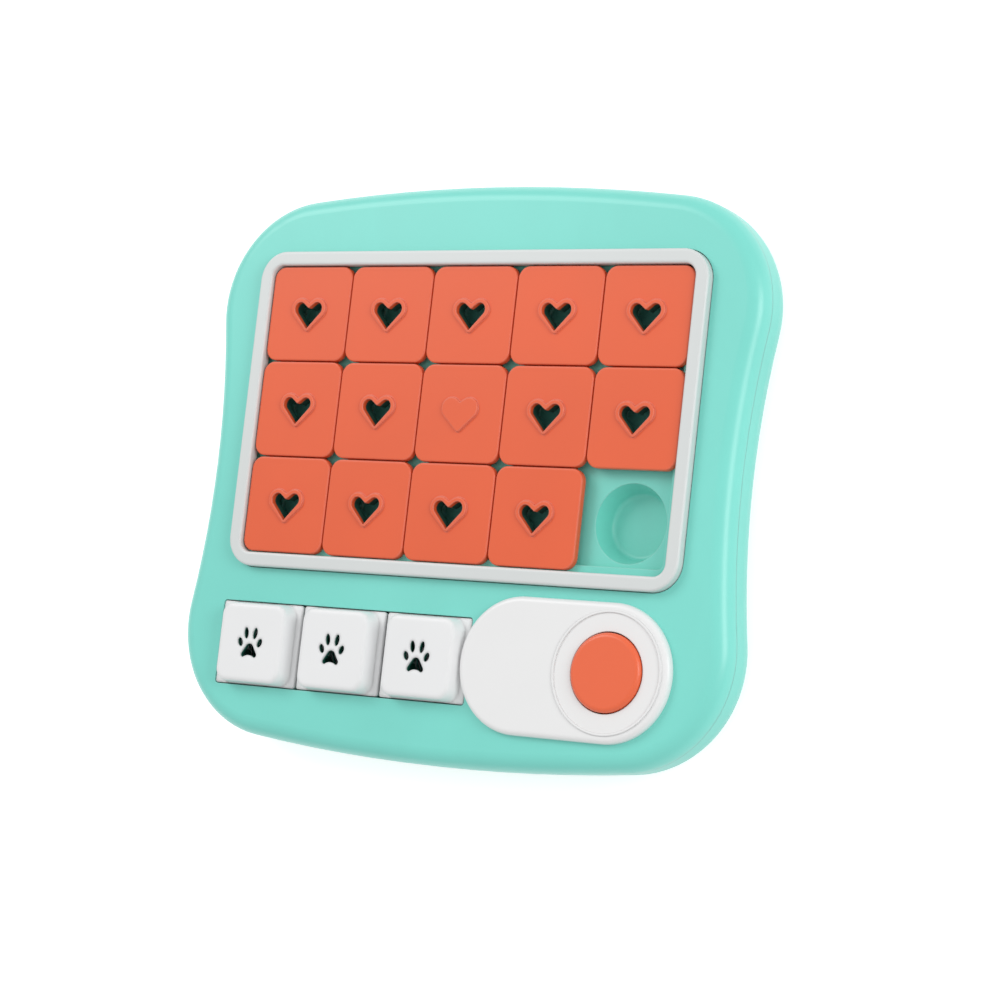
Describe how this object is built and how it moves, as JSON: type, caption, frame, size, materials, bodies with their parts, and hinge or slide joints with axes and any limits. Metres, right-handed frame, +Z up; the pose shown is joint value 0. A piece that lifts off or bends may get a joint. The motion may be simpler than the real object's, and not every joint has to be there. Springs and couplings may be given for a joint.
{
  "type": "dog puzzle feeder toy",
  "caption": "Flat treat puzzle for a dog: sliding tiles over treat cups in a raised frame, spring press keys with paw-shaped holes and a squeaker button, in a rounded shell on rubber feet.",
  "frame": {"origin": "under the middle of the body, on the plane that the feet stand on", "axes": "+Z up through the deck, +X along the rows of tiles, +Y from the key row towards the top row of tiles"},
  "size_m": [0.2574, 0.2338, 0.0343],
  "materials": {
    "mint_plastic": "smooth satin moulded mint plastic",
    "white_plastic": "smooth satin moulded white plastic",
    "orange_plastic": "smooth satin moulded orange plastic",
    "bellows_rubber": "soft translucent rubber",
    "foot_rubber": "matt pale rubber",
    "spring_steel": "drawn steel wire and steel screws"
  },
  "bodies": {
    "base": {"front_shell": "mint_plastic", "back_shell": "mint_plastic", "cup_tray": "mint_plastic", "key_well": "mint_plastic", "grid_frame": "white_plastic", "button_plate": "white_plastic", "squeaker_bellows": "bellows_rubber", "squeaker_reed": "white_plastic", "shell_screws": "spring_steel", "tray_screws": "spring_steel", "tile_row1_col1": "orange_plastic", "tile_row1_col2": "orange_plastic", "tile_row1_col3": "orange_plastic", "tile_row1_col4": "orange_plastic", "tile_row1_col5": "orange_plastic", "tile_row2_col1": "orange_plastic", "tile_row2_col2": "orange_plastic", "tile_row2_col3": "orange_plastic", "tile_row2_col4": "orange_plastic", "tile_row2_col5": "orange_plastic", "key_spring_left": "spring_steel", "key_spring_middle": "spring_steel", "key_spring_right": "spring_steel", "foot_front_left": "foot_rubber", "foot_front_right": "foot_rubber", "foot_rear_left": "foot_rubber", "foot_rear_right": "foot_rubber"},
    "tile_1": {"tile_row3_col1": "orange_plastic"},
    "tile_2": {"tile_row3_col2": "orange_plastic"},
    "tile_3": {"tile_row3_col3": "orange_plastic"},
    "tile_4": {"tile_row3_col4": "orange_plastic"},
    "key_left": {"key_left": "white_plastic"},
    "key_middle": {"key_middle": "white_plastic"},
    "key_right": {"key_right": "white_plastic"},
    "squeaker_button": {"squeaker_button": "orange_plastic"}
  },
  "joints": [
    {"name": "tile_1_slide", "type": "slide", "parent": "base", "child": "tile_1", "axis": [1, 0, 0], "range_m": [0, 0.04]},
    {"name": "tile_2_slide", "type": "slide", "parent": "base", "child": "tile_2", "axis": [1, 0, 0], "range_m": [0, 0.04]},
    {"name": "tile_3_slide", "type": "slide", "parent": "base", "child": "tile_3", "axis": [1, 0, 0], "range_m": [0, 0.04]},
    {"name": "tile_4_slide", "type": "slide", "parent": "base", "child": "tile_4", "axis": [1, 0, 0], "range_m": [0, 0.04]},
    {"name": "key_left_press", "type": "slide", "parent": "base", "child": "key_left", "axis": [0, 0, -1], "range_m": [0, 0.004], "stiffness_N_per_m": 350, "springref_m": -0.002, "deforming": ["key_spring_left"]},
    {"name": "key_middle_press", "type": "slide", "parent": "base", "child": "key_middle", "axis": [0, 0, -1], "range_m": [0, 0.004], "stiffness_N_per_m": 350, "springref_m": -0.002, "deforming": ["key_spring_middle"]},
    {"name": "key_right_press", "type": "slide", "parent": "base", "child": "key_right", "axis": [0, 0, -1], "range_m": [0, 0.004], "stiffness_N_per_m": 350, "springref_m": -0.002, "deforming": ["key_spring_right"]},
    {"name": "button_press", "type": "slide", "parent": "base", "child": "squeaker_button", "axis": [0, 0, -1], "range_m": [0, 0.004], "stiffness_N_per_m": 500, "springref_m": -0.002, "deforming": ["squeaker_bellows"]}
  ],
  "couplings": [
    {"joint": "tile_2_slide", "follows": "tile_1_slide", "ratio": 1},
    {"joint": "tile_3_slide", "follows": "tile_1_slide", "ratio": 1},
    {"joint": "tile_4_slide", "follows": "tile_1_slide", "ratio": 1}
  ]
}
